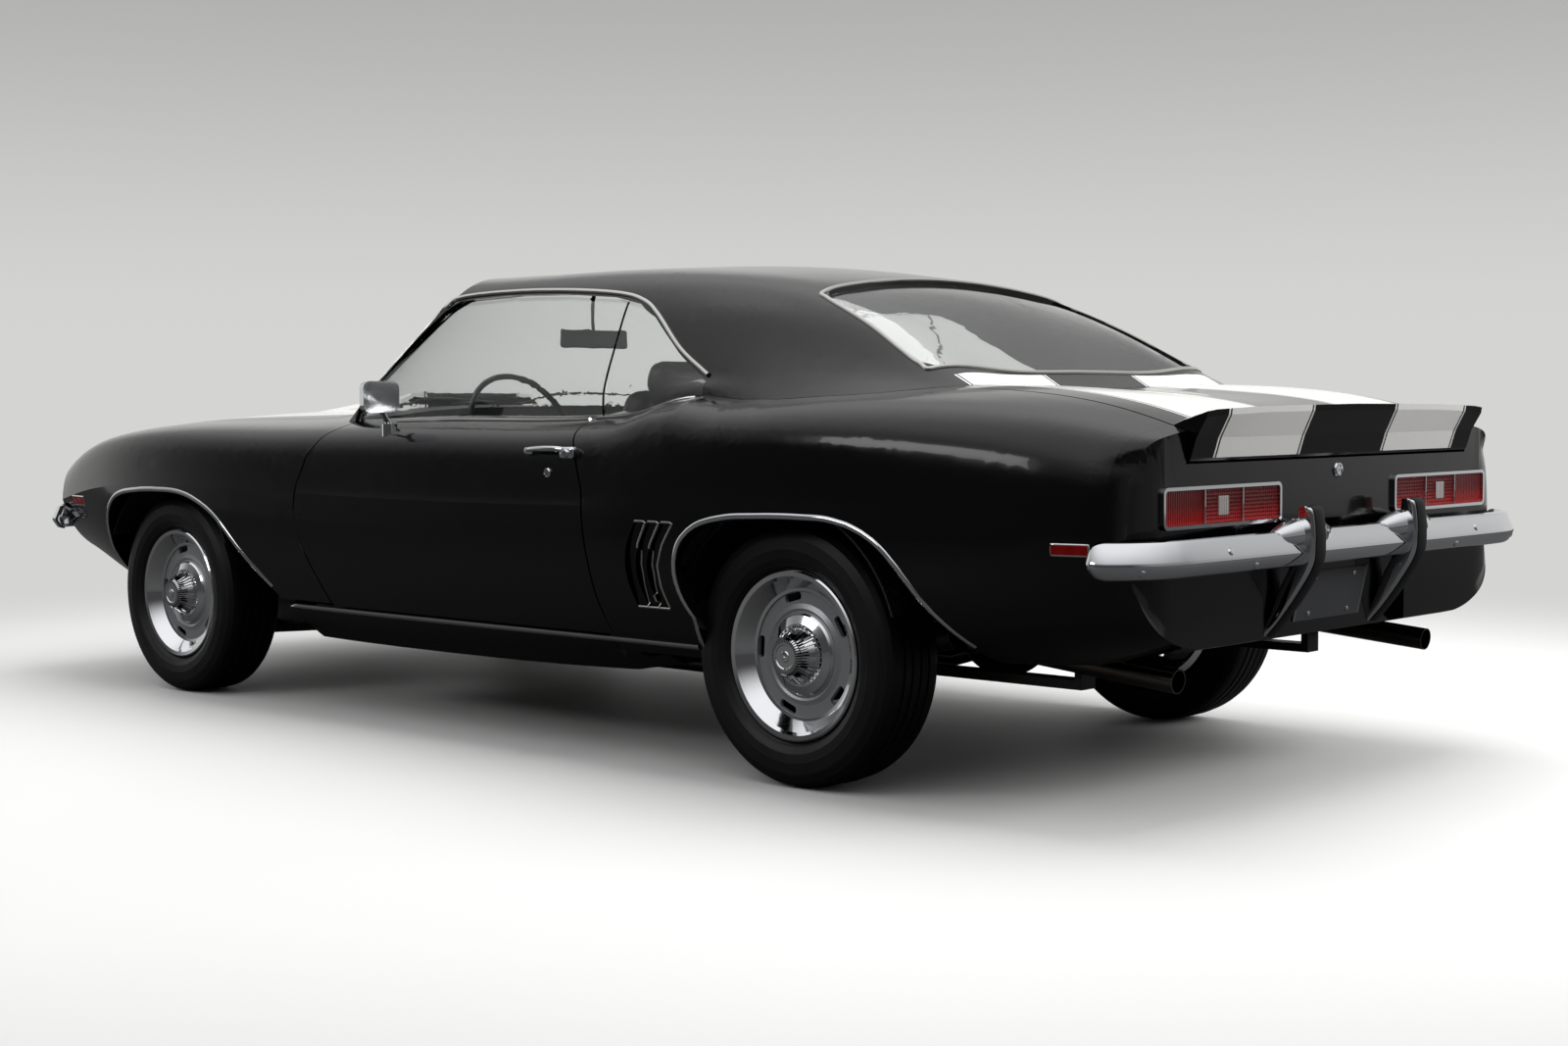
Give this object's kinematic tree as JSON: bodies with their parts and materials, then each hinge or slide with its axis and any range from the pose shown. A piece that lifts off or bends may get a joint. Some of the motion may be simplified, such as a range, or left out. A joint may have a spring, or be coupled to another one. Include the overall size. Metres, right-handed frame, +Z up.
{
  "type": "two-door hardtop muscle car",
  "caption": "Low two-door hardtop muscle car with fastback roof, rear lip spoiler, chrome bumpers, opening doors, hood and decklid, steering and free-turning wheels.",
  "frame": {"origin": "on the ground at mid-length on the centre line, the tyres standing on z = 0", "axes": "+X forward to the nose, +Y to the car's left, +Z up"},
  "size_m": [4.763, 1.9215, 1.3357],
  "materials": {
    "black_paint": "deep gloss black",
    "chrome": "polished",
    "clear_lens": "white lens",
    "dash_plastic": "grained black",
    "engine_paint": "painted casting",
    "glass": "faint green tint",
    "grille_plastic": "satin black",
    "plate": "dark blank plate",
    "red_lens": "red lens",
    "steel": "plain steel",
    "tyre": "black rubber",
    "underbody": "satin black",
    "vinyl": "black vinyl",
    "wheel_metal": "polished and silver"
  },
  "bodies": {
    "body": {"cabin_mirror": "chrome", "control_arms": "underbody", "cowl_panel": "black_paint", "dashboard": "dash_plastic", "engine": "engine_paint", "exhaust": "steel", "exhaust_tips": "chrome", "fenders": "black_paint", "firewall": "underbody", "fixed_glass": "glass", "floor_pan": "underbody", "front_bumper": "chrome", "front_seats": "vinyl", "front_valance": "black_paint", "fuel_tank": "steel", "gearbox": "steel", "grille": "grille_plastic", "header_panel": "black_paint", "headlamp_rings": "chrome", "headlamps": "clear_lens", "inner_fenders": "underbody", "leaf_springs": "underbody", "number_plate": "plate", "quarter_panels": "black_paint", "radiator": "underbody", "rear_axle": "underbody", "rear_bumper": "chrome", "rear_floor": "underbody", "rear_seat": "vinyl", "rear_shelf": "black_paint", "rear_valance": "black_paint", "reverse_lamps": "clear_lens", "roof": "black_paint", "side_markers": "red_lens", "steering_column": "dash_plastic", "subframe": "underbody", "tail_lamp_bezels": "chrome", "tail_lamps": "red_lens", "tail_panel": "black_paint"},
    "hood": {"hood": "black_paint"},
    "decklid": {"decklid": "black_paint", "spoiler": "black_paint"},
    "door_left": {"door_left": "black_paint", "door_glass_left": "glass", "door_mirror": "chrome", "door_handle_left": "chrome"},
    "door_right": {"door_right": "black_paint", "door_glass_right": "glass", "door_handle_right": "chrome"},
    "steering_wheel": {"steering_wheel": "dash_plastic"},
    "knuckle_left": {"knuckle_left": "steel"},
    "knuckle_right": {"knuckle_right": "steel"},
    "road_wheel_front_left": {"wheel_front_left": "wheel_metal", "tyre_front_left": "tyre"},
    "road_wheel_front_right": {"wheel_front_right": "wheel_metal", "tyre_front_right": "tyre"},
    "road_wheel_rear_left": {"wheel_rear_left": "wheel_metal", "tyre_rear_left": "tyre"},
    "road_wheel_rear_right": {"wheel_rear_right": "wheel_metal", "tyre_rear_right": "tyre"}
  },
  "joints": [
    {"name": "hood_hinge", "type": "hinge", "parent": "body", "child": "hood", "pos_m": [0.7, 0, 0.8], "axis": [0, -1, 0], "range_deg": [0, 50]},
    {"name": "decklid_hinge", "type": "hinge", "parent": "body", "child": "decklid", "pos_m": [-1.712, 0, 0.936], "axis": [0, 1, 0], "range_deg": [0, 75]},
    {"name": "door_left_hinge", "type": "hinge", "parent": "body", "child": "door_left", "pos_m": [0.675, 0.884, 0.65], "axis": [0, 0, -1], "range_deg": [0, 65]},
    {"name": "door_right_hinge", "type": "hinge", "parent": "body", "child": "door_right", "pos_m": [0.675, -0.884, 0.65], "axis": [0, 0, 1], "range_deg": [0, 65]},
    {"name": "steer_left", "type": "hinge", "parent": "body", "child": "knuckle_left", "pos_m": [1.427, 0.715, 0.322], "axis": [0, 0, 1], "range_deg": [-32, 32]},
    {"name": "steer_right", "type": "hinge", "parent": "body", "child": "knuckle_right", "pos_m": [1.427, -0.715, 0.322], "axis": [0, 0, 1], "range_deg": [-32, 32]},
    {"name": "steering_wheel_turn", "type": "hinge", "parent": "body", "child": "steering_wheel", "pos_m": [0.25, 0.36, 0.84], "axis": [-0.9135, 0, 0.4067], "range_deg": [-560, 560]},
    {"name": "spin_front_left", "type": "hinge", "parent": "knuckle_left", "child": "road_wheel_front_left", "pos_m": [1.427, 0.757, 0.322], "axis": [0, 1, 0], "continuous": true},
    {"name": "spin_front_right", "type": "hinge", "parent": "knuckle_right", "child": "road_wheel_front_right", "pos_m": [1.427, -0.757, 0.322], "axis": [0, 1, 0], "continuous": true},
    {"name": "spin_rear_left", "type": "hinge", "parent": "body", "child": "road_wheel_rear_left", "pos_m": [-1.316, 0.757, 0.322], "axis": [0, 1, 0], "continuous": true},
    {"name": "spin_rear_right", "type": "hinge", "parent": "body", "child": "road_wheel_rear_right", "pos_m": [-1.316, -0.757, 0.322], "axis": [0, 1, 0], "continuous": true}
  ],
  "couplings": [
    {"joint": "steer_right", "follows": "steer_left", "ratio": 1},
    {"joint": "steering_wheel_turn", "follows": "steer_left", "ratio": 17}
  ]
}
